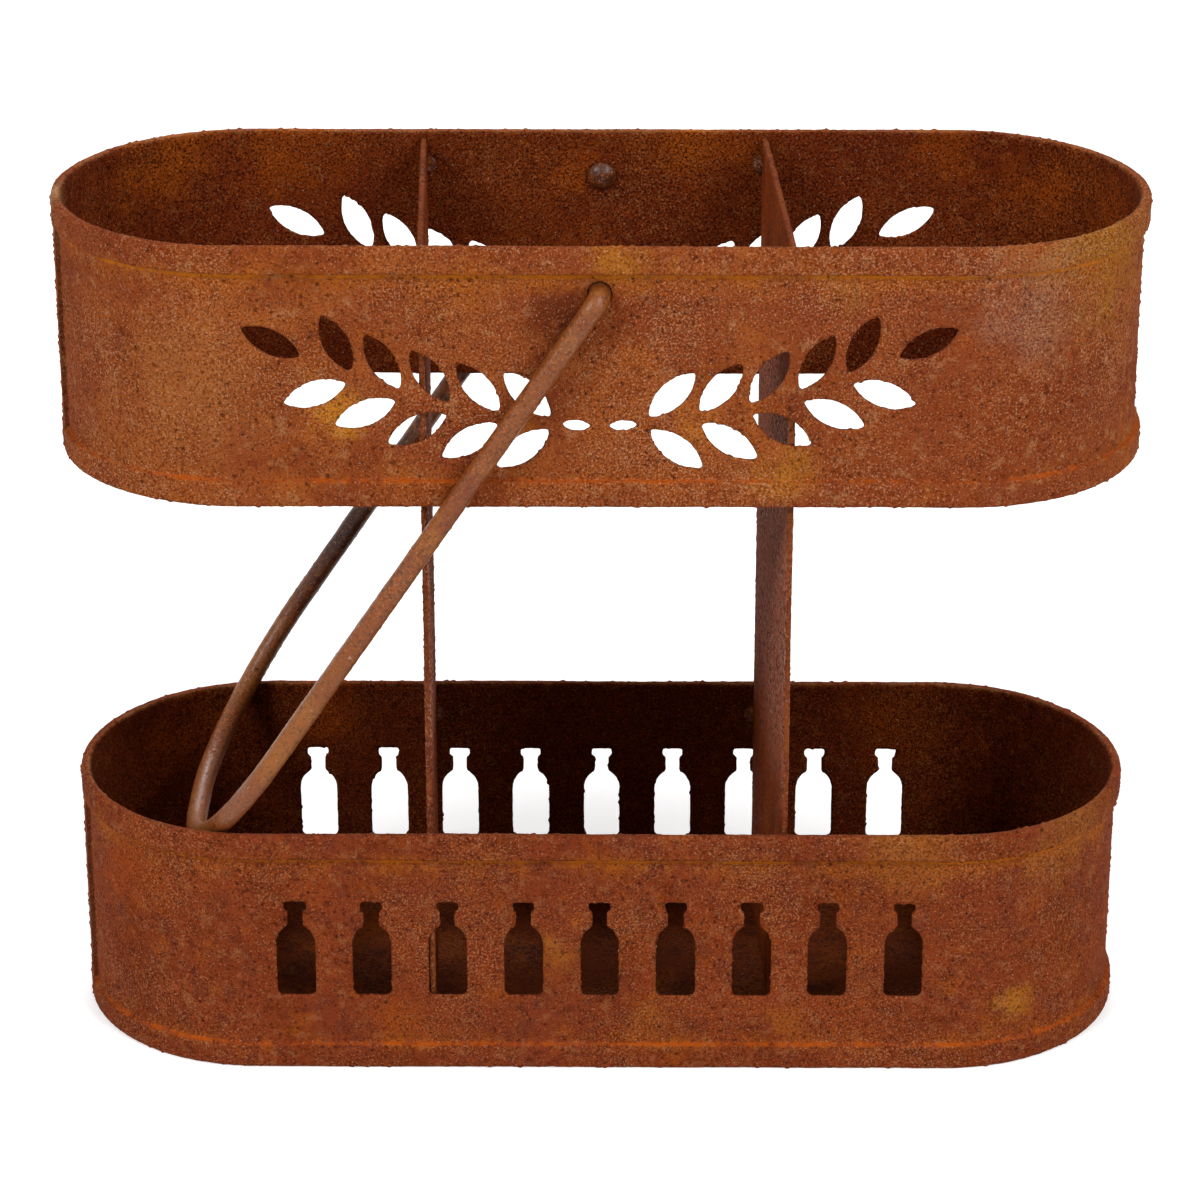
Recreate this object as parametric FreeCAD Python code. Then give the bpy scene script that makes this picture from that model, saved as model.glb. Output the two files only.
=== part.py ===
import FreeCAD, Part
import math
import os

# Bottle caddy of rusted sheet steel: two hemmed bands with half-round ends, one above the other,
# a floor in the lower one, two upright partitions that carry the upper one, and a swinging bail.
# Millimetres and degrees, +Z up, +X to the right. The origin is the middle of the underside.

# Bands: strips with both long edges folded outwards, rolled to a ring and lapped at the left end
band_length = 216.0
band_depth = 75.4
band_height = 53.0
band_gap = 71.2
sheet = 1.0
hem_height = 5.4
hem_gap = 0.2
fold_round_share = 0.38
lap_width = 10.0
lap_edge_y = -9.4

# Floor: a plate let into the lower band, flush with its lower edge
floor_sheet = 1.2
floor_clearance = 0.15

# Partitions: plates that stand on the floor and stop just under the upper rim, set a little askew:
# the skew is how far a plate's front edge lies to the right of its back edge
partition_sheet = 1.2
partition_spacing = 70.4
partition_drop = 1.3
partition_clearance = 0.15
left_partition_skew = 2.34
right_partition_skew = 3.7

# Tack welds: round nuggets in the corners that the plates make with the walls
tack_radius = 1.9
tack_height_shares = (0.13, 0.87)
floor_tack_radius = 1.7
floor_tack_shares = (-0.85, 0.0, 0.85)

# Bail: a round rod bent to a U, its ends turned in through the upper band and hammered to heads
rod_diameter = 4.2
pivot_drop = 9.4
pivot_clearance = 0.15
bail_length = 151.0
bail_bend_radius = 35.5
leg_clearance = 0.5
elbow_radius = 3.2
head_diameter = 6.0
head_height = 1.8
head_play = 0.3
rest_clearance = 0.3
rest_step = 0.05
bend_steps = 90

# Barley ears cut through the upper band's long walls, one to each side of the middle
ear_pairs = 5
ear_start_x = 9.5
ear_start_rise = 17.0
ear_end_x = 57.0
ear_end_rise = 30.5
ear_sag = 2.6
kernel_length = 13.0
kernel_width = 5.2
kernel_lean = 42.0
kernel_offset = 1.2
straw_length = 6.0
straw_width = 2.2
straw_bridge = 2.0

# Bottle outlines cut through the lower band's long walls, in a row
icon_count = 9
icon_pitch = 15.4
icon_rise = 16.2
icon_height = 21.4
icon_width = 7.8
icon_body_height = 11.6
icon_shoulder_height = 4.4
icon_bulge_share = 0.14
icon_neck_width = 3.0
icon_cap_width = 4.4
icon_cap_height = 2.2
icon_corner = 1.2

# One overrun for every cut
overrun = 2.0

# Sizes that follow from those above
hem_outer = band_depth / 2
hem_sheet = 2 * sheet + hem_gap
wall_outer = hem_outer - sheet - hem_gap
wall_inner = wall_outer - sheet
end_centre = band_length / 2 - hem_outer
fold_round = fold_round_share * hem_sheet
upper_z = band_height + band_gap
top_z = upper_z + band_height
partition_reach = wall_inner - partition_clearance
pivot_z = top_z - pivot_drop
rod_radius = rod_diameter / 2
leg_y = hem_outer + leg_clearance + rod_radius

right = FreeCAD.Vector(1, 0, 0)
back = FreeCAD.Vector(0, 1, 0)
up = FreeCAD.Vector(0, 0, 1)


def stadium(radius):
    """Flat face with straight sides and half-round ends about the bands' middle line."""
    edges = []
    for side in (1, -1):
        start = right * (side * end_centre) - back * (side * radius)
        crown = right * (side * (end_centre + radius))
        stop = right * (side * end_centre) + back * (side * radius)
        edges.append(Part.Arc(start, crown, stop).toShape())
        edges.append(Part.makeLine(stop, stop - right * (2 * side * end_centre)))
    return Part.Face(Part.Wire(edges))


def ring(inner, outer, z, height):
    """Upright ring between two stadium outlines."""
    shape = stadium(outer).cut(stadium(inner)).extrude(up * height)
    shape.translate(up * z)
    return shape


def block(x_limits, y_limits, z_limits):
    """Box between two limits along each axis."""
    low, high = (FreeCAD.Vector(*corner) for corner in zip(x_limits, y_limits, z_limits))
    size = high - low
    return Part.makeBox(size.x, size.y, size.z, low)


def through_cut(edges):
    """Prism that takes an outline in the XZ plane through both long walls."""
    reach = hem_outer + overrun
    prism = Part.Face(Part.Wire(Part.sortEdges(edges)[0])).extrude(back * (2 * reach))
    prism.translate(back * -reach)
    return prism


def leaf(foot, tip, width):
    """Edges of a pointed leaf between two points of the XZ plane."""
    middle = (foot + tip) / 2
    bulge = back.cross(tip - foot).normalize() * (width / 2)
    return [Part.Arc(foot, middle + side * bulge, tip).toShape() for side in (1, -1)]


def ear_cuts(side):
    """One barley ear: kernels in pairs along a sagging spine, one at its tip, and a straw behind it."""
    start = right * (side * ear_start_x) + up * (upper_z + ear_start_rise)
    end = right * (side * ear_end_x) + up * (upper_z + ear_end_rise)
    spine = Part.Arc(start, (start + end) / 2 - up * ear_sag, end).toShape()
    first, last = spine.FirstParameter, spine.LastParameter
    if (spine.valueAt(first) - start).Length > (spine.valueAt(last) - start).Length:
        first, last = last, first
    cuts = []
    for k in range(ear_pairs + 1):
        place = first + (last - first) * k / ear_pairs
        heading = spine.tangentAt(place) * math.copysign(1, last - first)
        for turn in (1, -1) if k < ear_pairs else (0,):
            foot = spine.valueAt(place) + back.cross(heading) * (turn * kernel_offset)
            growth = FreeCAD.Rotation(back, turn * kernel_lean).multVec(heading)
            cuts.append(through_cut(leaf(foot, foot + growth * kernel_length, kernel_width)))
        if k == 0:
            straw_tip = start - heading * straw_bridge
            cuts.append(through_cut(leaf(straw_tip - heading * straw_length, straw_tip, straw_width)))
    return cuts


def bottle_cut(x):
    """Upright bottle outline standing at x: round foot, straight body, bulged shoulder, neck and cap."""
    half_body, half_neck, half_cap = icon_width / 2, icon_neck_width / 2, icon_cap_width / 2
    top = icon_rise + icon_height
    foot = FreeCAD.Vector(half_body - icon_corner, 0, icon_rise)
    body_low = FreeCAD.Vector(half_body, 0, icon_rise + icon_corner)
    corner_middle = foot + up * icon_corner + (right - up).normalize() * icon_corner
    body_high = FreeCAD.Vector(half_body, 0, icon_rise + icon_body_height)
    neck_low = FreeCAD.Vector(half_neck, 0, body_high.z + icon_shoulder_height)
    bulge = (neck_low - body_high).cross(back) * icon_bulge_share
    shoulder_middle = (body_high + neck_low) / 2 - bulge
    neck_high = FreeCAD.Vector(half_neck, 0, top - icon_cap_height)
    cap_low = FreeCAD.Vector(half_cap, 0, neck_high.z)
    cap_high = FreeCAD.Vector(half_cap, 0, top)
    half = [
        Part.makeLine(up * icon_rise, foot),
        Part.Arc(foot, corner_middle, body_low).toShape(),
        Part.makeLine(body_low, body_high),
        Part.Arc(body_high, shoulder_middle, neck_low).toShape(),
        Part.makeLine(neck_low, neck_high),
        Part.makeLine(neck_high, cap_low),
        Part.makeLine(cap_low, cap_high),
        Part.makeLine(cap_high, up * top),
    ]
    cut = through_cut(half + [edge.mirror(up * 0, right) for edge in half])
    cut.translate(right * x)
    return cut


def band(z, cuts):
    """Rolled strip with folded hems, a slit behind each hem's flap and a lap seam at the left end."""
    top = z + band_height
    hems = [ring(wall_inner, hem_outer, foot, hem_height) for foot in (z, top - hem_height)]
    shape = ring(wall_inner, wall_outer, z, band_height).multiFuse(hems).removeSplitter()
    folds = [edge for edge in shape.Edges if edge.BoundBox.ZMax < z + fold_round
             or edge.BoundBox.ZMin > top - fold_round]
    shape = shape.makeFillet(fold_round, folds)
    slit_height = hem_height - sheet
    slit_feet = (z + sheet, top - hem_height)
    slits = [ring(wall_outer, wall_outer + hem_gap, foot, slit_height) for foot in slit_feet]
    lap = ring(wall_outer, wall_outer + sheet, z + hem_height, band_height - 2 * hem_height)
    lap_side = block((-band_length, -end_centre), (lap_edge_y, lap_edge_y + lap_width), (z, top))
    return shape.fuse(lap.common(lap_side)).cut(Part.makeCompound(slits + cuts))


def partition_place(side, skew):
    """Placement of a partition: its middle over the bands' middle line, turned as far as its skew asks."""
    turn = math.degrees(math.asin(skew / (2 * partition_reach)))
    return FreeCAD.Placement(right * (side * partition_spacing / 2), FreeCAD.Rotation(up, turn))


def partition(side, skew):
    """Upright plate between the walls, from the floor to just under the upper rim."""
    half_sheet = partition_sheet / 2
    plate = block(
        (-half_sheet, half_sheet),
        (-partition_reach, partition_reach),
        (floor_sheet, top_z - partition_drop))
    plate.Placement = partition_place(side, skew)
    return plate


def partition_tacks(side, skew, z):
    """Nuggets where the partition's face towards the middle meets one band's front and back walls."""
    nuggets = []
    heights = (z, z + band_height)
    between_walls = block((-band_length, band_length), (-wall_inner, wall_inner), heights)
    face_x = -side * partition_sheet / 2
    towards_middle = sorted((face_x, face_x - side * band_length))
    free_side = block(towards_middle, (-band_depth, band_depth), heights)
    for share in tack_height_shares:
        for wall in (-wall_inner, wall_inner):
            centre = FreeCAD.Vector(face_x, wall, z + share * band_height)
            nugget = Part.makeSphere(tack_radius, centre).common(free_side)
            nugget.Placement = partition_place(side, skew).multiply(nugget.Placement)
            nuggets.append(nugget.common(between_walls).Solids[0])
    return Part.makeCompound(nuggets)


def floor_tacks():
    """Nuggets in the corner between the floor and the lower band's long walls."""
    above_floor = block(
        (-band_length, band_length),
        (-wall_inner, wall_inner),
        (floor_sheet, floor_sheet + floor_tack_radius))
    nuggets = []
    for share in floor_tack_shares:
        for wall in (-wall_inner, wall_inner):
            centre = FreeCAD.Vector(share * end_centre, wall, floor_sheet)
            nuggets.append(Part.makeSphere(floor_tack_radius, centre).common(above_floor).Solids[0])
    return Part.makeCompound(nuggets)


def rim_distance(angle):
    """Room between the lower rim and the bail's bend when it hangs at an angle from straight down."""
    least = bail_length
    for k in range(bend_steps + 1):
        turn = math.pi / 2 * k / bend_steps
        along = bail_length - bail_bend_radius * (1 - math.sin(turn))
        aside = leg_y - bail_bend_radius * (1 - math.cos(turn))
        from_line = math.hypot(max(along * math.sin(angle) - end_centre, 0), aside)
        beside = max(wall_inner + fold_round - from_line, from_line - hem_outer + fold_round, 0)
        above = max(pivot_z - along * math.cos(angle) - band_height + fold_round, 0)
        least = min(least, math.hypot(beside, above))
    return least - fold_round - rod_radius


def rest_angle():
    """Angle from straight down at which the falling bail comes to rest against the lower rim."""
    angle = 90
    while angle > 0 and rim_distance(math.radians(angle - rest_step)) > rest_clearance:
        angle -= rest_step
    return angle


def bail_head(side):
    """Domed head on a rod end, hammered out just inside the wall."""
    seat = wall_inner - head_play
    dome_radius = ((head_diameter / 2) ** 2 + head_height ** 2) / (2 * head_height)
    dome = Part.makeSphere(dome_radius, back * (side * (seat - head_height + dome_radius)))
    inside = sorted((side * seat, side * (seat - head_height)))
    reach = (-head_diameter, head_diameter)
    return dome.common(block(reach, inside, reach))


def bail():
    """The bent rod with its two heads, hanging against the lower rim on the left."""
    pin_end = wall_inner - head_play - head_height / 2
    elbow_middle = elbow_radius * (1 - math.sqrt(0.5))
    bend_middle = bail_bend_radius * (1 - math.sqrt(0.5))
    rounds = []
    for side in (-1, 1):
        pin_stop = back * (side * (leg_y - elbow_radius))
        elbow = back * (side * (leg_y - elbow_middle)) - up * elbow_middle
        leg_start = back * (side * leg_y) - up * elbow_radius
        leg_stop = back * (side * leg_y) - up * (bail_length - bail_bend_radius)
        bend = back * (side * (leg_y - bend_middle)) - up * (bail_length - bend_middle)
        foot = back * (side * (leg_y - bail_bend_radius)) - up * bail_length
        rounds.append([
            Part.makeLine(back * (side * pin_end), pin_stop),
            Part.Arc(pin_stop, elbow, leg_start).toShape(),
            Part.makeLine(leg_start, leg_stop),
            Part.Arc(leg_stop, bend, foot).toShape(),
        ])
    front_half, back_half = rounds
    foot_line = Part.makeLine(front_half[-1].Vertexes[-1].Point, back_half[-1].Vertexes[-1].Point)
    path = Part.Wire(Part.sortEdges(front_half + [foot_line] + back_half)[0])
    section = Part.Wire(Part.makeCircle(rod_radius, back * -pin_end, back))
    rod = path.makePipeShell([section], True, False)
    shape = rod.multiFuse([bail_head(-1), bail_head(1)]).removeSplitter()
    shape.Placement = FreeCAD.Placement(up * pivot_z, FreeCAD.Rotation(back, rest_angle()))
    return shape


def pivot_holes():
    """Bore for the rod's turned-in ends, through both walls of the upper band."""
    reach = hem_outer + overrun
    return Part.makeCylinder(
        rod_radius + pivot_clearance, 2 * reach, FreeCAD.Vector(0, -reach, pivot_z), back)


icon_places = [icon_pitch * (k - (icon_count - 1) / 2) for k in range(icon_count)]
partitions = {"left": (-1, left_partition_skew), "right": (1, right_partition_skew)}

parts = {
    "lower_band": band(0, [bottle_cut(x) for x in icon_places]),
    "upper_band": band(upper_z, ear_cuts(-1) + ear_cuts(1) + [pivot_holes()]),
    "tray_floor": stadium(wall_inner - floor_clearance).extrude(up * floor_sheet),
    "floor_tack_welds": floor_tacks(),
    "bail_handle": bail(),
}
for name, (side, skew) in partitions.items():
    parts[name + "_partition"] = partition(side, skew)
    parts[name + "_upper_tack_welds"] = partition_tacks(side, skew, upper_z)
    parts[name + "_lower_tack_welds"] = partition_tacks(side, skew, 0)

os.makedirs("parts", exist_ok=True)
for name, shape in parts.items():
    shape.exportStep("parts/" + name + ".step")
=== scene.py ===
import bpy
import math
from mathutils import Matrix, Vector


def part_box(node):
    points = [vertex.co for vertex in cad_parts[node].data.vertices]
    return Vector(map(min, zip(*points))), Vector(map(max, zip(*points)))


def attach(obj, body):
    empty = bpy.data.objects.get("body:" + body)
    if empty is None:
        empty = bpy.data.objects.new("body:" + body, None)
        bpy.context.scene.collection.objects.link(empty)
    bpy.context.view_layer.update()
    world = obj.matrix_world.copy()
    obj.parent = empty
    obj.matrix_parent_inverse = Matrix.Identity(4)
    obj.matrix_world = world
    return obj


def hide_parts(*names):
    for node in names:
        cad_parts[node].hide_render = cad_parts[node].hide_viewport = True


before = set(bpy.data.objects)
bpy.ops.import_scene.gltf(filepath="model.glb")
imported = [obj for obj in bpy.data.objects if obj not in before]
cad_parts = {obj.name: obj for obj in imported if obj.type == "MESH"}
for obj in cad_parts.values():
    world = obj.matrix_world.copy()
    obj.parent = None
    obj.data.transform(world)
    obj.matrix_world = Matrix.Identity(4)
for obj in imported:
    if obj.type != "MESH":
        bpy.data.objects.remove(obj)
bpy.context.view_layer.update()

# Lower band
# A strip of 1 mm mild steel, cut through with a row of bottle outlines, its long edges folded out to
# flat hems, then rolled to a ring with half-round ends and lapped at the left. It has rusted bare.

MM = 0.001
most_triangles = 194000
band_cell = 0.4 * MM
band_crusts = [
    ("CLOUDS", 25 * MM, 0.3 * MM), ("CLOUDS", 1.2 * MM, 0.2 * MM), ("VORONOI", 1.8 * MM, 0.3 * MM)]


def rough_copy(node, cell, crusts):
    """Copies a CAD node as one closed skin of even cells and lays crusts of rust on it as real relief.
    A crust has a pattern, the size of its lumps and how far they stand out."""
    merge_share = 0.001
    nub_top_share, nub_foot_share = 0.08, 0.30
    piece = bpy.data.objects.new(node + "_rusted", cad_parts[node].data.copy())
    bpy.context.scene.collection.objects.link(piece)
    piece.data.materials.clear()
    bpy.ops.object.select_all(action="DESELECT")
    piece.select_set(True)
    bpy.context.view_layer.objects.active = piece
    bpy.ops.object.mode_set(mode="EDIT")
    bpy.ops.mesh.select_all(action="SELECT")
    bpy.ops.mesh.remove_doubles(threshold=merge_share * cell)
    bpy.ops.object.mode_set(mode="OBJECT")
    skin = piece.modifiers.new("even_cells", "REMESH")
    skin.mode = "VOXEL"
    skin.voxel_size = cell
    bpy.ops.object.modifier_apply(modifier=skin.name)
    for pattern, size, height in crusts:
        texture = bpy.data.textures.new(piece.name, pattern)
        texture.noise_scale = size
        crust = piece.modifiers.new("crust", "DISPLACE")
        if pattern == "VORONOI":
            texture.use_color_ramp = True
            nub_top, nub_foot = texture.color_ramp.elements
            nub_top.position = nub_top_share
            nub_top.color = (1, 1, 1, 1)
            nub_foot.position = nub_foot_share
            nub_foot.color = (0, 0, 0, 1)
            crust.mid_level = 0
        crust.texture = texture
        crust.texture_coords = "LOCAL"
        crust.strength = height
        bpy.ops.object.modifier_apply(modifier=crust.name)
    triangles = 2 * len(piece.data.polygons)
    if triangles > most_triangles:
        thin = piece.modifiers.new("thin", "DECIMATE")
        thin.ratio = most_triangles / triangles
        bpy.ops.object.modifier_apply(modifier=thin.name)
    bpy.ops.object.shade_smooth()
    return piece


def linear(hex_colour):
    """Linear RGBA of an sRGB hex value, by the sRGB standard's own formula."""
    shares = [int(hex_colour[k:k + 2], 16) / 255 for k in (1, 3, 5)]
    return [s / 12.92 if s <= 0.04045 else ((s + 0.055) / 1.055) ** 2.4 for s in shares] + [1.0]


# The sockets of a Mix node that lays one colour over another.
FACTOR, UNDER, OVER, MIXED = 0, 6, 7, 2


def shader_node(material, kind, inputs, **settings):
    """Adds one shader node: inputs holds values or other nodes' sockets, settings its own options."""
    made = material.node_tree.nodes.new("ShaderNode" + kind)
    for option, value in settings.items():
        setattr(made, option, value)
    for socket, value in inputs.items():
        if isinstance(value, bpy.types.NodeSocket):
            material.node_tree.links.new(value, made.inputs[socket])
        else:
            made.inputs[socket].default_value = value
    return made


def bare_steel(name):
    """Starts a material and gives the place on the piece in millimetres."""
    material = bpy.data.materials.new(name)
    material.use_nodes = True
    place = shader_node(material, "TexCoord", {}).outputs["Object"]
    place = shader_node(material, "VectorMath", {0: place, "Scale": 1 / MM}, operation="SCALE").outputs[0]
    return material, place


def oxide(material, place, colour, coats, gathered=0.0):
    """Coats of oxide: each has a colour, a patch size in millimetres, the noise level where it starts and
    where it is full, and its cover. Gathered says how far fine grains keep to zones of the piece."""
    zone_size = 20
    fine_size = 2
    fine_detail, broad_detail = 2, 5
    if gathered:
        zone = shader_node(material, "TexNoise", {
            "Vector": place, "Scale": 1 / zone_size, "Detail": 3}).outputs[0]
    for coat, size, start, full, cover in coats:
        patch = shader_node(material, "TexNoise", {
            "Vector": place, "Scale": 1 / size, "Roughness": 0.62,
            "Detail": broad_detail if size > fine_size else fine_detail}).outputs[0]
        if gathered:
            patch = shader_node(material, "Math", {0: zone, 1: gathered, 2: patch},
                                operation="MULTIPLY_ADD").outputs[0]
        mask = shader_node(material, "MapRange", {
            "Value": patch, "From Min": start + gathered / 2, "From Max": full + gathered / 2,
            "To Max": cover}, interpolation_type="SMOOTHSTEP").outputs[0]
        colour = shader_node(material, "Mix", {FACTOR: mask, UNDER: colour, OVER: linear(coat)},
                             data_type="RGBA").outputs[MIXED]
    return colour


def blooms(material, place, colour, spots):
    """Ragged patches: blooms of fresh rust, and the painted highlights and painted shade marked in the lists.
    Each has a colour, a middle, a radius in millimetres and its cover.
    """
    ragged_size = 9
    drift = 12.0
    heart_level, edge_level, full_level = 0.5, 0.62, 1.0
    ragged = shader_node(material, "TexNoise", {
        "Vector": place, "Scale": 1 / ragged_size, "Detail": 6, "Roughness": 0.75})
    shifted = shader_node(material, "VectorMath", {
        0: ragged.outputs["Color"], 1: (drift, drift, drift), 2: place}, operation="MULTIPLY_ADD").outputs[0]
    for spot_colour, middle, radius, cover in spots:
        shifted_middle = [along + drift / 2 for along in middle]
        away = shader_node(material, "VectorMath", {0: shifted, 1: shifted_middle},
                           operation="DISTANCE").outputs["Value"]
        near = shader_node(material, "MapRange", {
            "Value": away, "From Max": radius, "To Min": heart_level, "To Max": 0}).outputs[0]
        near = shader_node(material, "Math", {0: near, 1: ragged.outputs[0]}, operation="ADD").outputs[0]
        mask = shader_node(material, "MapRange", {
            "Value": near, "From Min": edge_level, "From Max": full_level, "To Max": cover},
            interpolation_type="SMOOTHSTEP").outputs[0]
        colour = shader_node(material, "Mix", {FACTOR: mask, UNDER: colour, OVER: linear(spot_colour)},
                             data_type="RGBA").outputs[MIXED]
    return colour


def grit(material, place, colour, grain, relief, pit, bead, roughness=0.88, sheen=0.05):
    """Finishes a rusted steel: dark pits, pale beads that stand proud, gritty relief and a dull surface.
    A pit or bead has a colour, a spacing, a radius as a share of it, how scarce it is, cover and rise.
    Rust is an oxide, so the shader isn't metallic, and only the beads and a rubbed rod shine a little."""
    zone_size = 17
    jitter = (0.9, 0.9, 1.2)
    luck_spread = 0.4
    least_share = 0.001
    bead_roughness = 0.45
    shader = material.node_tree.nodes["Principled BSDF"]
    zone = shader_node(material, "TexNoise", {
        "Vector": place, "Scale": 1 / zone_size, "Detail": 2}).outputs[0]
    rough = shader_node(material, "TexNoise", {
        "Vector": place, "Scale": 1 / grain, "Detail": 3, "Roughness": 0.6})
    height = rough.outputs[0]
    jittered = shader_node(material, "VectorMath", {0: rough.outputs["Color"], 1: jitter, 2: place},
                           operation="MULTIPLY_ADD").outputs[0]
    for spot, spacing, share, scarce, cover, rise in (pit, bead):
        cells = shader_node(material, "TexVoronoi", {"Vector": jittered, "Scale": 1 / spacing})
        luck = shader_node(material, "Math", {0: cells.outputs["Color"], 1: zone}, operation="ADD").outputs[0]
        reach = shader_node(material, "MapRange", {
            "Value": luck, "From Min": scarce, "From Max": scarce + luck_spread,
            "To Min": least_share, "To Max": share}).outputs[0]
        mask = shader_node(material, "MapRange", {
            "Value": cells.outputs["Distance"], "From Max": reach, "To Min": 1, "To Max": 0},
            interpolation_type="SMOOTHSTEP").outputs[0]
        tint = shader_node(material, "Math", {0: mask, 1: cover}, operation="MULTIPLY").outputs[0]
        colour = shader_node(material, "Mix", {FACTOR: tint, UNDER: colour, OVER: linear(spot)},
                             data_type="RGBA").outputs[MIXED]
        height = shader_node(material, "Math", {0: mask, 1: rise, 2: height},
                             operation="MULTIPLY_ADD").outputs[0]
    bump = shader_node(material, "Bump", {
        "Height": height, "Strength": 1.0, "Distance": relief * MM}).outputs[0]
    dull = shader_node(material, "MapRange", {
        "Value": mask, "To Min": roughness, "To Max": bead_roughness}).outputs[0]
    material.node_tree.links.new(colour, shader.inputs["Base Color"])
    material.node_tree.links.new(bump, shader.inputs["Normal"])
    material.node_tree.links.new(dull, shader.inputs["Roughness"])
    shader.inputs["Specular IOR Level"].default_value = sheen
    return material


# Sizes of the strip in millimetres, as in the solid.
hem_height = 5.4
hem_thickness = 2.2
sheet = 1.0
lap_edge = -9.4


def near_line(material, along, line, core, fade, falloff="LINEAR"):
    """One within core of a line, falling to zero at fade, measured in millimetres along one axis."""
    away = shader_node(material, "Math", {0: along, 1: line}, operation="SUBTRACT").outputs[0]
    away = shader_node(material, "Math", {0: away}, operation="ABSOLUTE").outputs[0]
    return shader_node(material, "MapRange", {
        "Value": away, "From Min": core, "From Max": fade, "To Min": 1, "To Max": 0},
        interpolation_type=falloff).outputs[0]


def hem_stains(material, colour, z, flow, outside, stains):
    """Stains where water stood in the corner of a hem: each has a height, how far it spreads, the flow
    where it starts and where it is full, its cover and a colour."""
    for line, spread, start, full, cover, stain in stains:
        near = near_line(material, z, line, 0.0, spread, "SMOOTHSTEP")
        wet = shader_node(material, "MapRange", {
            "Value": flow, "From Min": start, "From Max": full, "To Max": cover}).outputs[0]
        mask = shader_node(material, "Math", {0: near, 1: wet}, operation="MULTIPLY").outputs[0]
        mask = shader_node(material, "Math", {0: mask, 1: outside}, operation="MULTIPLY").outputs[0]
        colour = shader_node(material, "Mix", {FACTOR: mask, UNDER: colour, OVER: linear(stain)},
                             data_type="RGBA").outputs[MIXED]
    return colour


def worn_and_highlit_rims(material, colour, z, out, flow, wall_middle, rims):
    """Pales each rim's edge toward the inside, in patches: wear, and a painted highlight where light catches
    the fold's top.
    """
    edge_width = 0.5
    rim_core, rim_fade = 0.3, 0.8
    start, full, cover = 0.72, 0.96, 0.6
    inner_edge = shader_node(material, "MapRange", {
        "Value": out, "From Min": wall_middle, "From Max": wall_middle + edge_width,
        "To Min": 1, "To Max": 0}).outputs[0]
    bared = shader_node(material, "MapRange", {
        "Value": flow, "From Min": start, "From Max": full, "To Max": cover}).outputs[0]
    bared = shader_node(material, "Math", {0: inner_edge, 1: bared}, operation="MULTIPLY").outputs[0]
    for rim in rims:
        near = near_line(material, z, rim, rim_core, rim_fade)
        worn = shader_node(material, "Math", {0: near, 1: bared}, operation="MULTIPLY").outputs[0]
        colour = shader_node(material, "Mix", {FACTOR: worn, UNDER: colour, OVER: linear("#A8754F")},
                             data_type="RGBA").outputs[MIXED]
    return colour


def lap_shadow_and_dirt(material, colour, x, y, outside, end_centre):
    """Paints a dark line beside the lap of the strip, at the left end: dirt in the gap, and a painted shadow
    of it.
    """
    cover = 0.6
    end_blend = 1.0
    core, fade = 0.2, 0.45
    at_left = shader_node(material, "MapRange", {
        "Value": x, "From Min": -end_centre - end_blend, "From Max": -end_centre,
        "To Min": cover, "To Max": 0}).outputs[0]
    near = near_line(material, y, lap_edge, core, fade)
    gap_shade = shader_node(material, "Math", {0: near, 1: at_left}, operation="MULTIPLY").outputs[0]
    gap_shade = shader_node(material, "Math", {0: gap_shade, 1: outside}, operation="MULTIPLY").outputs[0]
    return shader_node(material, "Mix", {FACTOR: gap_shade, UNDER: colour, OVER: linear("#2A1008")},
                       data_type="RGBA").outputs[MIXED]


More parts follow.
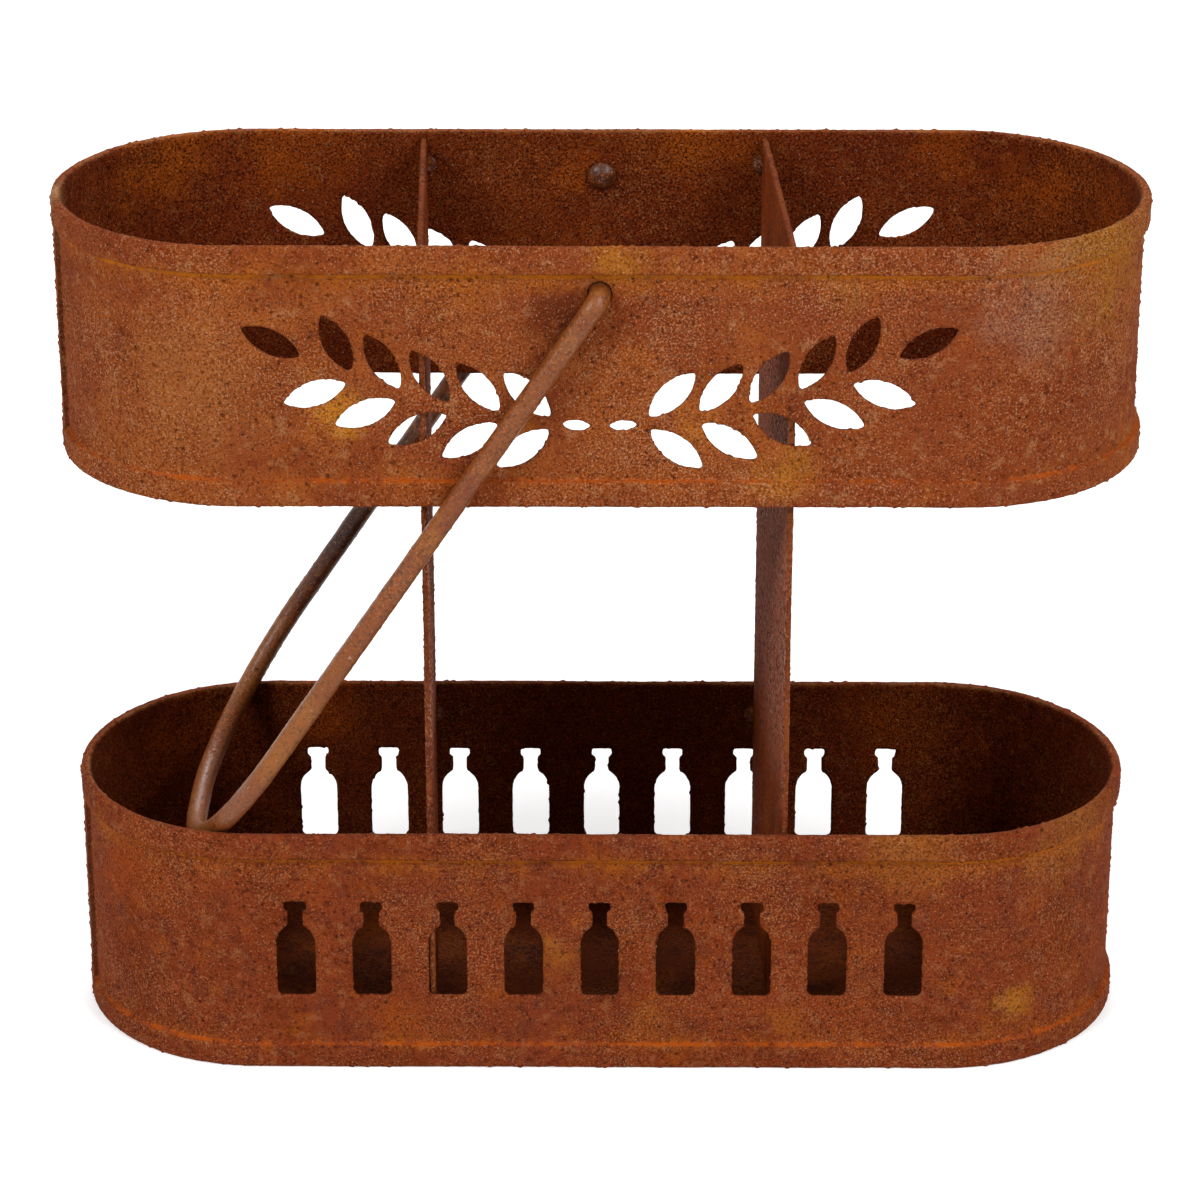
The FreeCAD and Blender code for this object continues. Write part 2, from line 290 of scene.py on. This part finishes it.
def rusted_band(node, ground, coats, spots, grains, inside_painted_shade, stain, scarce):
    """Rust of a rolled band: a bright stain in the corner of each hem, paler worn rims with a painted
    highlight, and painted shade that darkens the inside.
    The colour of the inside's painted shade is multiplied in, stain colours the corner of the high hem, and
    scarce thins out pale beads.
    Out is the distance from the line between the centres of the round ends."""
    wall_blend = 0.3
    flow_size, drip_size, drip_share = 14, 1.6, 0.6
    halo = "#9E5416"
    low_stain = "#B04C08"
    low, high = (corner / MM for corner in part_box(node))
    low_corner = low.z + hem_height
    high_corner = high.z - hem_height
    end_centre = high.x - high.y
    wall_middle = high.y - hem_thickness + sheet / 2
    material, place = bare_steel("rusted_mild_steel_" + node)
    x, y, z = shader_node(material, "SeparateXYZ", {0: place}).outputs
    past_end = shader_node(material, "Math", {0: x}, operation="ABSOLUTE").outputs[0]
    past_end = shader_node(material, "Math", {0: past_end, 1: end_centre}, operation="SUBTRACT").outputs[0]
    past_end = shader_node(material, "Math", {0: past_end, 1: 0.0}, operation="MAXIMUM").outputs[0]
    out = shader_node(material, "CombineXYZ", {0: past_end, 1: y}).outputs[0]
    out = shader_node(material, "VectorMath", {0: out}, operation="LENGTH").outputs["Value"]
    outside = shader_node(material, "MapRange", {
        "Value": out, "From Min": wall_middle - wall_blend, "From Max": wall_middle + wall_blend}).outputs[0]
    flow = shader_node(material, "TexNoise", {
        "Vector": place, "Scale": 1 / flow_size, "Detail": 5, "Roughness": 0.65}).outputs[0]
    drip = shader_node(material, "TexNoise", {
        "Vector": place, "Scale": 1 / drip_size, "Detail": 3}).outputs[0]
    flow = shader_node(material, "Math", {0: drip, 1: drip_share, 2: flow},
                       operation="MULTIPLY_ADD").outputs[0]

    colour = oxide(material, place, linear(ground), coats)
    colour = blooms(material, place, colour, spots)
    colour = hem_stains(material, colour, z, flow, outside, [
        (low_corner + 0.8, 3.0, 0.74, 1.02, 0.6, halo), (high_corner - 1.6, 4.0, 0.68, 0.96, 0.75, halo)])
    colour = oxide(material, place, colour, grains, gathered=0.25)
    colour = hem_stains(material, colour, z, flow, outside, [
        (low_corner + 0.1, 0.42, 0.66, 0.94, 0.7, low_stain),
        (high_corner - 0.6, 0.75, 0.56, 0.88, 0.75, stain)])
    # Paler rims: wear, and a painted highlight on the fold's top.
    colour = worn_and_highlit_rims(material, colour, z, out, flow, wall_middle, (low.z, high.z))
    # A painted shadow, with dirt, in the gap beside the lap at the left end.
    colour = lap_shadow_and_dirt(material, colour, x, y, outside, end_centre)
    # Painted shade: the inside is multiplied by a darker, grained colour, where the walls shade it.
    shade = oxide(material, place, linear(inside_painted_shade), [
        ("#7C6448", 0.5, 0.49, 0.62, 0.85), ("#FFE8C8", 0.45, 0.54, 0.68, 0.85)])
    shade = shader_node(material, "Mix", {FACTOR: outside, UNDER: shade, OVER: (1, 1, 1, 1)},
                        data_type="RGBA").outputs[MIXED]
    colour = shader_node(material, "Mix", {FACTOR: 1.0, UNDER: colour, OVER: shade},
                         data_type="RGBA", blend_type="MULTIPLY").outputs[MIXED]
    return grit(
        material, place, colour, grain=0.5, relief=0.3, pit=("#3A1406", 1.7, 0.34, 0.9, 0.8, -0.9),
        bead=("#DABEA4", 0.75, 0.28, scarce, 0.65, 0.9))


lower_band = rough_copy("lower_band", band_cell, band_crusts)

# Rusted mild steel sheet gives the eye a matt red-brown ground in broad patches, with dark grains, tan
# flecks and a few ochre blooms. The real grains are finer than the picture can show, so they are drawn
# 0.4 to 0.8 mm across.
lower_band.data.materials.append(rusted_band(
    "lower_band", ground="#77331A",
    coats=[
        ("#843A18", 36, 0.45, 0.62, 0.7), ("#6C2A0C", 15, 0.48, 0.64, 0.6),
        ("#94480F", 7, 0.54, 0.68, 0.5), ("#5C2C1E", 5, 0.50, 0.65, 0.5),
        ("#8C5432", 3, 0.53, 0.66, 0.55), ("#54200E", 2.4, 0.53, 0.66, 0.6)],
    spots=[
        ("#A86A20", (85, -33.4, 12), 9, 0.7), ("#96581E", (62, -37.7, 51), 22, 0.6),
        ("#925820", (95, -27, 51), 22, 0.65), ("#985218", (10, -36.5, 11), 8, 0.6),
        ("#985218", (38, -36.5, 10), 8, 0.6), ("#985818", (-8, -36.5, 25), 9, 0.65),
        ("#94400F", (-95, -28, 40), 20, 0.6), ("#94440F", (-40, -36.5, 10), 14, 0.6),
        ("#B0561A", (-60, 35.5, 46), 16, 0.8), ("#A04C16", (-88, 30, 44), 22, 0.8),
        ("#9C4A16", (62, 35.5, 44), 22, 0.7)],
    grains=[
        ("#481604", 0.5, 0.48, 0.61, 0.64), ("#964810", 0.8, 0.56, 0.70, 0.35),
        ("#B27850", 0.42, 0.55, 0.69, 0.52)],
    # The inside colour here is painted shade, multiplied into the inside of the band.
    inside_painted_shade="#B8AA80", stain="#C4680E", scarce=1.2))
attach(lower_band, "frame")
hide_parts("lower_band")

# Tray floor
# A 1.2 mm plate of mild steel let into the lower band and tacked to its walls. Water stood on it, so it
# has rusted most deeply, to a dark orange-brown.

plate_cell = 0.5 * MM
plate_crusts = [
    ("CLOUDS", 30 * MM, 0.2 * MM), ("CLOUDS", 1.2 * MM, 0.12 * MM), ("VORONOI", 1.6 * MM, 0.22 * MM)]
pressed_in = 0.4 * MM
floor_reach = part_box("tray_floor")[1]
tray_floor = rough_copy("tray_floor", plate_cell, plate_crusts)
bpy.ops.object.mode_set(mode="EDIT")
bpy.ops.mesh.select_all(action="SELECT")
bpy.ops.transform.resize(
    value=(1 + pressed_in / floor_reach.x, 1 + pressed_in / floor_reach.y, 1), center_override=(0, 0, 0))
bpy.ops.object.mode_set(mode="OBJECT")

# Deeply rusted mild steel plate gives the eye a dark, matt brown with orange patches and coarse grit.
# The second list is the grit, drawn coarser than it is, so that it shows.
material, place = bare_steel("rusted_mild_steel_floor_plate")
colour = oxide(material, place, linear("#6A3013"), [
    ("#7E3C14", 30, 0.46, 0.62, 0.8), ("#4C2212", 14, 0.48, 0.64, 0.8), ("#8E4A16", 9, 0.54, 0.70, 0.6)])
colour = oxide(material, place, colour, [
    ("#341409", 0.7, 0.46, 0.66, 0.65), ("#8E4212", 0.8, 0.54, 0.70, 0.5),
    ("#9A7460", 0.45, 0.56, 0.78, 0.35)], gathered=0.4)
tray_floor.data.materials.append(grit(
    material, place, colour, grain=0.6, relief=0.3, pit=("#26100A", 1.7, 0.45, 0.95, 0.75, -0.8),
    bead=("#B99684", 1.3, 0.32, 1.15, 0.7, 1.2)))
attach(tray_floor, "frame")
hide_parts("tray_floor")

# Floor tack welds
# Short beads of weld metal that hold the tray floor to the walls: lumpy, greyer than the sheet, with
# orange rust round their feet.

weld_cell = 0.2 * MM
weld_crusts = [("CLOUDS", 1.5 * MM, 0.5 * MM), ("CLOUDS", 0.7 * MM, 0.2 * MM)]

# Rusted weld metal gives the eye a dull brown with grey and orange patches a few millimetres across.
# Its grain, in the second list, is drawn coarser than it is, so that it shows.
weld_rust, place = bare_steel("rusted_weld_metal")
colour = oxide(weld_rust, place, linear("#5C2C18"), [
    ("#7A4218", 3, 0.48, 0.62, 0.8), ("#6E5A50", 2.2, 0.56, 0.68, 0.6), ("#3A1A10", 1.4, 0.52, 0.66, 0.7)])
colour = oxide(weld_rust, place, colour, [
    ("#38180C", 0.5, 0.50, 0.68, 0.6), ("#B49C90", 0.4, 0.56, 0.74, 0.5)])
grit(
    weld_rust, place, colour, grain=0.5, relief=0.2, pit=("#26100A", 1.2, 0.4, 1.0, 0.7, -0.8),
    bead=("#CDB8AC", 1.0, 0.32, 1.1, 0.7, 1.0))


def rusted_weld(node):
    """One group of weld beads in rusted weld metal."""
    weld = rough_copy(node, weld_cell, weld_crusts)
    weld.data.materials.append(weld_rust)
    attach(weld, "frame")
    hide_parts(node)


rusted_weld("floor_tack_welds")

# Partitions
# Two 1.2 mm plates of mild steel that stand on the floor, a little askew, and carry the upper band. Their
# faces are rough with grey-flecked scale between the bands, and beads of it stand out along the edges.

# Rusted plate with mill scale gives the eye tan cut edges, orange-brown faces inside the bands and, in the
# open between them, a dark face full of pale flecks. The flecks are scale, and also painted light on the lit
# sides of its bumps and painted shade between them, on a base made paler for the light. They are drawn larger
# than they are, and longer along the plate, so that they show on a face seen at a slant.
plate_rust, place = bare_steel("rusted_mild_steel_scaly_plate")
colour = oxide(plate_rust, place, linear("#783A1C"), [
    ("#844420", 34, 0.46, 0.62, 0.8), ("#5E2A18", 12, 0.48, 0.66, 0.8), ("#924A1C", 14, 0.54, 0.68, 0.5)])
cut_edge = oxide(plate_rust, place, colour, [
    ("#4A2012", 0.9, 0.48, 0.64, 0.55), ("#B08468", 0.6, 0.56, 0.72, 0.4)], gathered=0.25)
sheltered = oxide(plate_rust, place, linear("#7C3410"), [
    ("#8C4012", 34, 0.46, 0.62, 0.8), ("#5E260E", 12, 0.48, 0.66, 0.8), ("#96490F", 14, 0.54, 0.68, 0.5),
    ("#421808", 0.9, 0.48, 0.64, 0.55), ("#A0602E", 0.6, 0.56, 0.72, 0.3)])
fleck_stretch = (1, 0.6, 1)
stretched = shader_node(plate_rust, "VectorMath", {0: place, 1: fleck_stretch},
                        operation="MULTIPLY").outputs[0]
# Scale flecks: the pale ones are partly painted light, the dark ones partly painted shade.
scale_with_painted_light_and_shade = oxide(plate_rust, stretched, linear("#94523A"), [
    ("#38160A", 0.9, 0.47, 0.57, 0.75), ("#C49A82", 0.75, 0.55, 0.65, 0.62)], gathered=0.35)

ragged_size, ragged_reach = 15, 40.0
tray_line, open_low = 70, 90
open_high, band_line = 160, 182
edge_normal, face_normal = 0.5, 0.8
ragged = shader_node(plate_rust, "TexNoise", {
    "Vector": place, "Scale": 1 / ragged_size, "Detail": 5}).outputs[0]
z = shader_node(plate_rust, "SeparateXYZ", {0: place}).outputs["Z"]
z = shader_node(plate_rust, "Math", {0: ragged, 1: ragged_reach, 2: z}, operation="MULTIPLY_ADD").outputs[0]
over_tray = shader_node(plate_rust, "MapRange", {
    "Value": z, "From Min": tray_line, "From Max": open_low}).outputs[0]
under_top = shader_node(plate_rust, "MapRange", {
    "Value": z, "From Min": band_line, "From Max": open_high}).outputs[0]
between = shader_node(plate_rust, "Math", {0: over_tray, 1: under_top}, operation="MULTIPLY").outputs[0]
normal = shader_node(plate_rust, "TexCoord", {}).outputs["Normal"]
across = shader_node(plate_rust, "SeparateXYZ", {0: normal}).outputs["X"]
across = shader_node(plate_rust, "Math", {0: across}, operation="ABSOLUTE").outputs[0]
on_face = shader_node(plate_rust, "MapRange", {
    "Value": across, "From Min": edge_normal, "From Max": face_normal}).outputs[0]
colour = shader_node(plate_rust, "Mix", {FACTOR: between, UNDER: sheltered, OVER: scale_with_painted_light_and_shade},
                     data_type="RGBA").outputs[MIXED]
colour = shader_node(plate_rust, "Mix", {FACTOR: on_face, UNDER: cut_edge, OVER: colour},
                     data_type="RGBA").outputs[MIXED]
grit(
    plate_rust, place, colour, grain=1.0, relief=0.9, pit=("#2E1208", 1.7, 0.42, 1.0, 0.7, -0.8),
    bead=("#C8A898", 1.3, 0.34, 1.1, 0.6, 1.0))

for node in ("left_partition", "right_partition"):
    partition = rough_copy(node, plate_cell, plate_crusts)
    partition.data.materials.append(plate_rust)
    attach(partition, "frame")
    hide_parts(node)

# Lower tack welds
# Beads of weld metal that hold the foot of each partition to the walls of the lower band, two in front and
# two behind. They are laid like the floor's and have rusted the same way.

rusted_weld("left_lower_tack_welds")
rusted_weld("right_lower_tack_welds")

# Upper band
# The same strip as the lower band, cut through with two barley ears and bored for the bail. It is the
# most weathered piece: tan and orange outside, with ochre blooms about the pivot and the right end.

upper_band = rough_copy("upper_band", band_cell, band_crusts)

# The same rusted sheet, but rained on and dried more often: paler and more orange to the eye, with larger
# ochre blooms and more pale beads.
upper_band.data.materials.append(rusted_band(
    "upper_band", ground="#813D1D",
    coats=[
        ("#944E20", 42, 0.44, 0.60, 0.85), ("#743010", 17, 0.47, 0.62, 0.6),
        ("#9A5018", 11, 0.55, 0.70, 0.5), ("#6A3020", 8, 0.50, 0.68, 0.35),
        ("#A06E46", 3, 0.54, 0.67, 0.5), ("#642810", 2.4, 0.53, 0.66, 0.55)],
    spots=[
        ("#96621C", (96, -26, 175), 30, 0.85), ("#A0601A", (4, -37.5, 174), 12, 0.85),
        # The patch at x -78 on the front is a painted highlight, a broad pool of lamp light.
        ("#B8741C", (-50, -36.5, 144), 11, 0.85), ("#96592A", (-78, -36, 148), 30, 0.7),
        # The dark patch at x -6 beside the bail's elbow is a dark rust patch and a painted shadow of the rod.
        ("#9C5518", (-27, -36.5, 169), 15, 0.7), ("#4A1C0C", (-6, -36.5, 163), 13, 0.75),
        ("#9A6226", (47, -36.5, 168), 9, 0.7), ("#A88058", (-107, -4, 175), 12, 0.85),
        # The pale grey patch at x 82 on the front is a painted highlight, a sheen of lamp light.
        ("#8A6450", (82, -34, 165), 22, 0.5), ("#B4661C", (18, 35.5, 174), 15, 0.9),
        ("#B0601C", (-5, 35.5, 169), 9, 0.9), ("#9E541C", (30, 35.5, 172), 11, 0.8),
        ("#B0601A", (-62, 35.5, 175), 22, 0.8), ("#B4661C", (-88, 30, 173), 22, 0.85),
        ("#B4601A", (92, 28, 170), 17, 0.85), ("#AC5A18", (102, 16, 168), 15, 0.8),
        ("#A85A1A", (70, 35.5, 175), 15, 0.8), ("#A8601C", (-16, -36.5, 140), 8, 0.8),
        ("#A8601C", (19, -36.5, 141), 8, 0.8), ("#A0641E", (36, -36.5, 132), 11, 0.8)],
    grains=[
        ("#561C04", 0.5, 0.48, 0.61, 0.68), ("#9C4C14", 0.8, 0.56, 0.70, 0.35),
        ("#C48C66", 0.42, 0.55, 0.69, 0.52)],
    # The inside colour here is painted shade, multiplied into the inside of the band.
    inside_painted_shade="#BCA083", stain="#C46E0E", scarce=1.08))
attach(upper_band, "frame")
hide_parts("upper_band")

# Upper tack welds
# Beads of weld metal that hang the upper band on the tops of the partitions, two in front and two behind
# on each. They are laid like the floor's and have rusted the same way.

rusted_weld("left_upper_tack_welds")
rusted_weld("right_upper_tack_welds")

# Bail handle
# A 4.2 mm steel rod bent to a U, its ends turned in through the upper band and hammered to round heads.
# Hands have kept it smoother than the sheet: tan-brown, with a soft sheen along its upper side.

rod_cell = 0.3 * MM
rod_crusts = [
    ("CLOUDS", 6 * MM, 0.12 * MM), ("CLOUDS", 1.2 * MM, 0.12 * MM), ("VORONOI", 1.5 * MM, 0.1 * MM)]
bail = rough_copy("bail_handle", rod_cell, rod_crusts)

# Rusted drawn steel rod, rubbed by hands, gives the eye a soft highlight on tan-brown, darker at the pivots,
# with painted shade down the back leg. Its grain, in the second oxide list, is drawn coarser than it is.
material, place = bare_steel("rusted_drawn_steel_rod")
colour = oxide(material, place, linear("#7C4118"), [
    ("#8E541C", 22, 0.46, 0.62, 0.8), ("#6E3214", 12, 0.50, 0.66, 0.7), ("#7C5030", 9, 0.54, 0.70, 0.6)])
colour = blooms(material, place, colour, [
    ("#3E1C0E", (0, 33, 168), 16, 0.9), ("#3E1C0E", (0, -33, 168), 12, 0.9),
    # The two wide dark patches down the back leg are painted shade, where the bands shade it.
    ("#321608", (-15, 40, 140), 66, 0.95), ("#321608", (-55, 40, 95), 66, 0.95)])
colour = oxide(material, place, colour, [
    ("#4E2412", 0.7, 0.48, 0.66, 0.65), ("#A8520F", 0.8, 0.54, 0.70, 0.5),
    ("#B4825A", 0.45, 0.55, 0.74, 0.5)], gathered=0.25)
bail.data.materials.append(grit(
    material, place, colour, grain=0.6, relief=0.12, pit=("#34170B", 1.7, 0.4, 0.95, 0.75, -0.7),
    bead=("#C8A68E", 1.4, 0.3, 1.1, 0.6, 0.8), roughness=0.34, sheen=0.3))
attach(bail, "bail")
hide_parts("bail_handle")

# Studio
# A floor of pale paper, two soft lamps in front, the right one stronger, and a weaker one behind. The
# camera stands where the outlines of both bands fit the photograph's. Sizes here are in metres.

scene = bpy.context.scene
scene.view_settings.view_transform = "Standard"


def backdrop_seen(material):
    """One for rays from the camera and for those that a shiny or clear surface sends on."""
    path = shader_node(material, "LightPath", {})
    seen = path.outputs["Is Camera Ray"]
    for ray in ("Is Glossy Ray", "Is Transmission Ray"):
        seen = shader_node(material, "Math", {0: seen, 1: path.outputs[ray]}, operation="MAXIMUM").outputs[0]
    return seen


floor_width = 8
floor_glow = 0.4
bpy.ops.mesh.primitive_plane_add(size=floor_width)
floor = bpy.context.object
floor.name = "studio_floor"
paper = bpy.data.materials.new("matt_white_paper")
paper.use_nodes = True
shader = paper.node_tree.nodes["Principled BSDF"]
shader.inputs["Base Color"].default_value = linear("#E8E8E8")
shader.inputs["Roughness"].default_value = 0.9
shader.inputs["Emission Color"].default_value = (1, 1, 1, 1)
glow = shader_node(paper, "Math", {0: backdrop_seen(paper), 1: floor_glow}, operation="MULTIPLY").outputs[0]
paper.node_tree.links.new(glow, shader.inputs["Emission Strength"])
floor.data.materials.append(paper)

air_light = 0.3
world = bpy.data.worlds.new("studio_air")
scene.world = world
world.use_nodes = True
sky = world.node_tree.nodes["Background"]
sky.inputs["Color"].default_value = (1, 1, 1, 1)
level = shader_node(world, "MapRange", {"Value": backdrop_seen(world), "To Min": air_light}).outputs[0]
world.node_tree.links.new(level, sky.inputs["Strength"])

lamp_width = 0.9
lamp_aim = Vector((0, 0, 0.1))
for name, location, power in (
        ("right_lamp", (1.5, -1.4, 1.7), 41), ("left_lamp", (-1.5, -1.4, 1.7), 38),
        ("back_lamp", (0, 1.8, 1.6), 20)):
    bpy.ops.object.light_add(type="AREA", location=location)
    lamp = bpy.context.object
    lamp.name = name
    lamp.data.size = lamp_width
    lamp.data.energy = power
    lamp.rotation_euler = (lamp_aim - lamp.location).to_track_quat("-Z", "Y").to_euler()

camera_place = (0.0047, -0.8084, 0.4432)
camera_tilt = math.radians(66.30)
camera_turn = math.radians(0.343)
bpy.ops.object.camera_add(location=camera_place, rotation=(camera_tilt, 0, camera_turn))
camera = bpy.context.object
camera.data.sensor_width = 36
camera.data.lens = 129.38
scene.camera = camera
